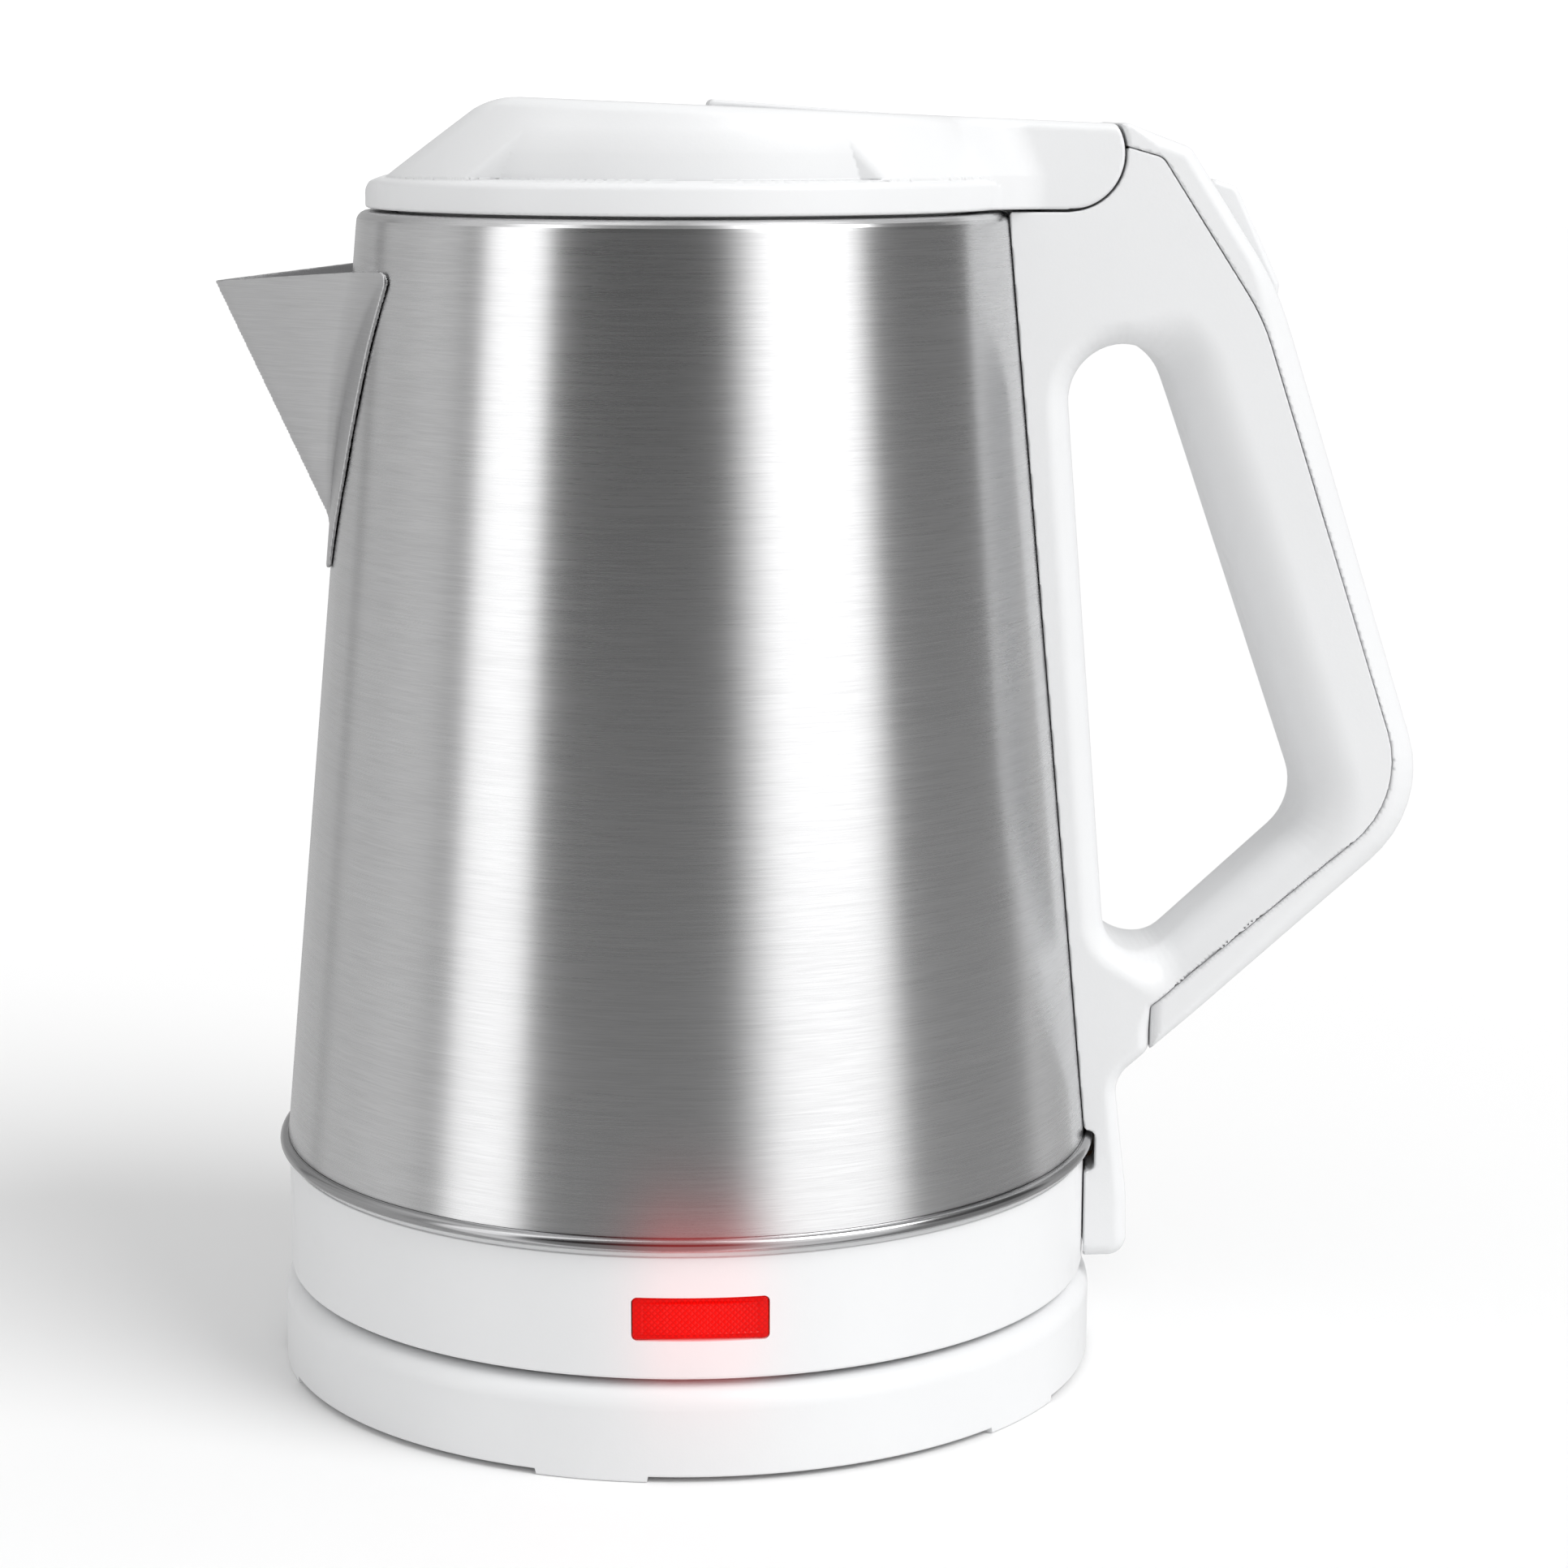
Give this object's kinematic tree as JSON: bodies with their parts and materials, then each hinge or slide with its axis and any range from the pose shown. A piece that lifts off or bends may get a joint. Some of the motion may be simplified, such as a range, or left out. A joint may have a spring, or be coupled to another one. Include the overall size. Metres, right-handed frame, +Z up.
{
  "type": "electric kettle",
  "caption": "Cordless electric kettle: tapering brushed steel jug with V spout, white lid with thumb release, angular loop handle with rocker switch, lit window and a round power base.",
  "frame": {"origin": "on the kettle's vertical axis, in the plane of the table the base stands on", "axes": "+Z up; -X towards the spout and +X towards the handle; -Y towards the pilot window"},
  "size_m": [0.2195, 0.1528, 0.2333],
  "materials": {
    "white_plastic": "satin moulded polypropylene",
    "black_plastic": "matt, mineral filled nylon",
    "brushed_steel": "brushed round the jug",
    "spout_steel": "brushed across, softly polished",
    "bead_steel": "rolled bright edge, plain plate inside",
    "inner_steel": "fine, plain sheet",
    "zinc_steel": "zinc plated screws, springs and pins",
    "aluminium": "milled sheet",
    "element": "dull sheath, heat tinted",
    "contact_brass": "stamped",
    "lens_red": "clear red, cross-hatched face, lit from behind",
    "lamp_glass": "clear tube with a small glow",
    "wire_skin": "silicone insulation",
    "seal_rubber": "food grade silicone"
  },
  "bodies": {
    "power_base": {"base_housing": "white_plastic", "base_bottom_plate": "white_plastic", "base_connector": "black_plastic", "base_contacts": "contact_brass", "cord_gland": "white_plastic", "base_screws": "zinc_steel"},
    "coupler": {"coupler_body": "black_plastic", "coupler_pin": "contact_brass", "coupler_rings": "contact_brass"},
    "kettle": {"steel_body": "brushed_steel", "floor_plate": "bead_steel", "diffuser_plate": "aluminium", "heating_element": "element", "control_body": "black_plastic", "bimetal_discs": "contact_brass", "spout": "spout_steel", "lower_collar": "white_plastic", "bottom_cover": "white_plastic", "bottom_screws": "zinc_steel", "window_lens": "lens_red", "indicator_lamp": "lamp_glass", "handle_body": "white_plastic", "handle_cover": "white_plastic", "handle_bracket": "inner_steel", "handle_screws": "zinc_steel", "steam_seal": "seal_rubber", "steam_switch": "black_plastic", "steam_bimetal": "contact_brass", "handle_wires": "wire_skin", "hinge_pin": "zinc_steel"},
    "lid": {"lid_shell": "white_plastic", "lid_liner": "white_plastic", "lid_plate": "inner_steel", "lid_spring": "zinc_steel", "latch_spring": "zinc_steel"},
    "button": {"release_button": "white_plastic"},
    "latch": {"latch_bolt": "white_plastic"},
    "switch": {"switch_lever": "white_plastic"}
  },
  "joints": [
    {"name": "kettle_lift", "type": "slide", "parent": "power_base", "child": "coupler", "axis": [0, 0, 1], "range_m": [0, 0.06]},
    {"name": "kettle_turn", "type": "hinge", "parent": "coupler", "child": "kettle", "pos_m": [0, 0, 0], "axis": [0, 0, 1], "continuous": true},
    {"name": "lid_hinge", "type": "hinge", "parent": "kettle", "child": "lid", "pos_m": [0.0681, 0, 0.2234], "axis": [0, 1, 0], "range_deg": [0, 90]},
    {"name": "lid_button", "type": "hinge", "parent": "lid", "child": "button", "pos_m": [0.0355, 0, 0.2266], "axis": [0, -1, 0], "range_deg": [0, 4.5], "stiffness_Nm_per_rad": 0.5},
    {"name": "latch_slide", "type": "slide", "parent": "lid", "child": "latch", "axis": [1, 0, 0], "range_m": [0, 0.0031], "deforming": ["latch_spring"]},
    {"name": "switch_rocker", "type": "hinge", "parent": "kettle", "child": "switch", "pos_m": [0.09592, 0, 0.20537], "axis": [0, -1, 0], "range_deg": [0, 12]}
  ],
  "couplings": [
    {"joint": "latch_slide", "follows": "lid_button", "m_per_rad": 0.0382}
  ]
}
